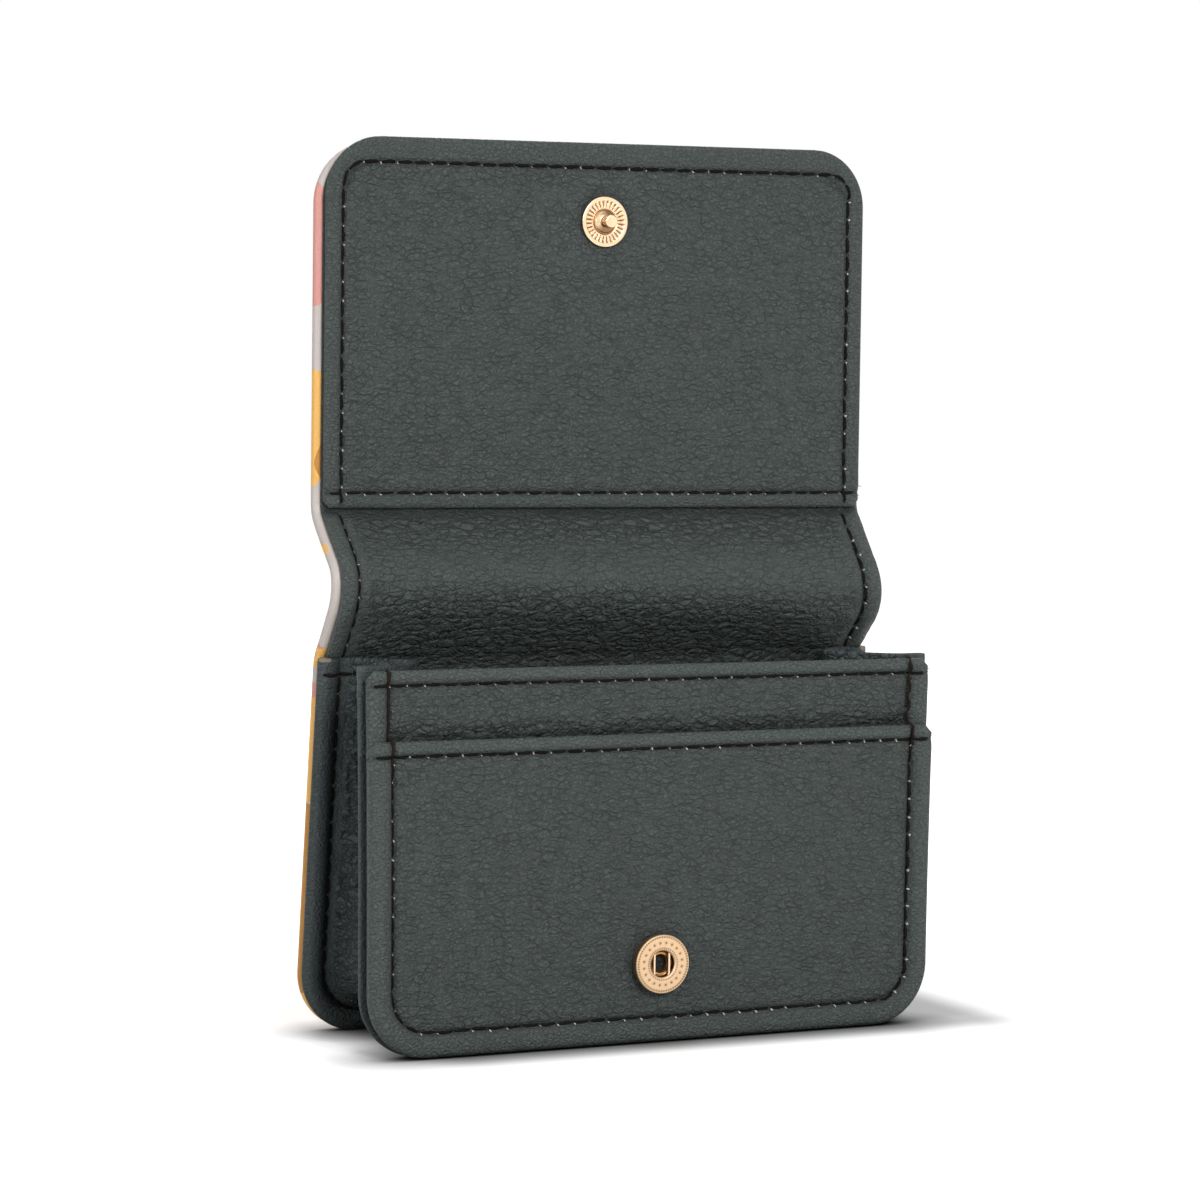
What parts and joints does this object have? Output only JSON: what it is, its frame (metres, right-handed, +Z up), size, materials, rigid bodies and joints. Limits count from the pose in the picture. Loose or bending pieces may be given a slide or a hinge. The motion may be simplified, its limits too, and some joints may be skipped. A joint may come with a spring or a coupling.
{
  "type": "card wallet",
  "caption": "Small faux-leather card wallet standing open, with a printed cover, folded spine, press-stud flap, card pocket and a gusseted main compartment.",
  "frame": {"origin": "bottom centre of the bounding box of the wallet standing open", "axes": "+X to the wallet's right seen from the front, +Y from the pocket front to the printed back, +Z up"},
  "size_m": [0.11, 0.0366, 0.158],
  "materials": {
    "leather": "dark grey-green faux leather with a fine pebble grain, satin",
    "print": "faux leather printed in soft colour blocks, satin",
    "board": "grey paper board, matt",
    "thread": "dark polyester sewing thread",
    "gold": "pale gold plated brass, polished"
  },
  "bodies": {
    "back": {"outer_back": "print", "back_board": "board", "lining_back": "leather", "back_seam_thread": "thread", "gusset": "leather", "gusset_hem_thread_left": "thread", "gusset_hem_thread_right": "thread"},
    "front": {"front_pocket": "leather", "front_panel": "leather", "front_lining": "leather", "front_board": "board", "front_seam_thread": "thread", "pocket_hem_thread": "thread", "front_hem_thread": "thread", "front_tack_left": "thread", "front_tack_right": "thread", "socket": "gold", "socket_spring": "gold", "socket_rivet": "gold"},
    "spine_lower": {"outer_spine_lower": "print", "lining_spine_lower": "leather", "spine_lower_thread_left": "thread", "spine_lower_thread_right": "thread"},
    "spine_upper": {"outer_spine_upper": "print", "lining_spine_upper": "leather", "spine_upper_thread_left": "thread", "spine_upper_thread_right": "thread"},
    "flap": {"outer_flap": "print", "flap_board": "board", "lining_flap": "leather", "flap_facing": "leather", "flap_seam_thread": "thread", "facing_hem_thread": "thread", "stud": "gold", "stud_rivet": "gold"}
  },
  "joints": [
    {"name": "gusset_collapse", "type": "slide", "parent": "back", "child": "front", "axis": [0, 1, 0], "range_m": [0, 0.012], "deforming": ["gusset", "gusset_hem_thread_left", "gusset_hem_thread_right"]},
    {"name": "back_fold", "type": "hinge", "parent": "back", "child": "spine_lower", "pos_m": [0, 0.0081, 0.0663], "axis": [1, 0, 0], "range_deg": [0, 15.8]},
    {"name": "spine_fold", "type": "hinge", "parent": "spine_lower", "child": "spine_upper", "pos_m": [0, -0.00145, 0.07839], "axis": [1, 0, 0], "range_deg": [0, 143.84]},
    {"name": "flap_fold", "type": "hinge", "parent": "spine_upper", "child": "flap", "pos_m": [0, 0.00989, 0.09287], "axis": [1, 0, 0], "range_deg": [0, 20.36]}
  ],
  "couplings": [
    {"joint": "back_fold", "follows": "spine_fold", "ratio": 0.10984},
    {"joint": "flap_fold", "follows": "spine_fold", "ratio": 0.14149}
  ]
}
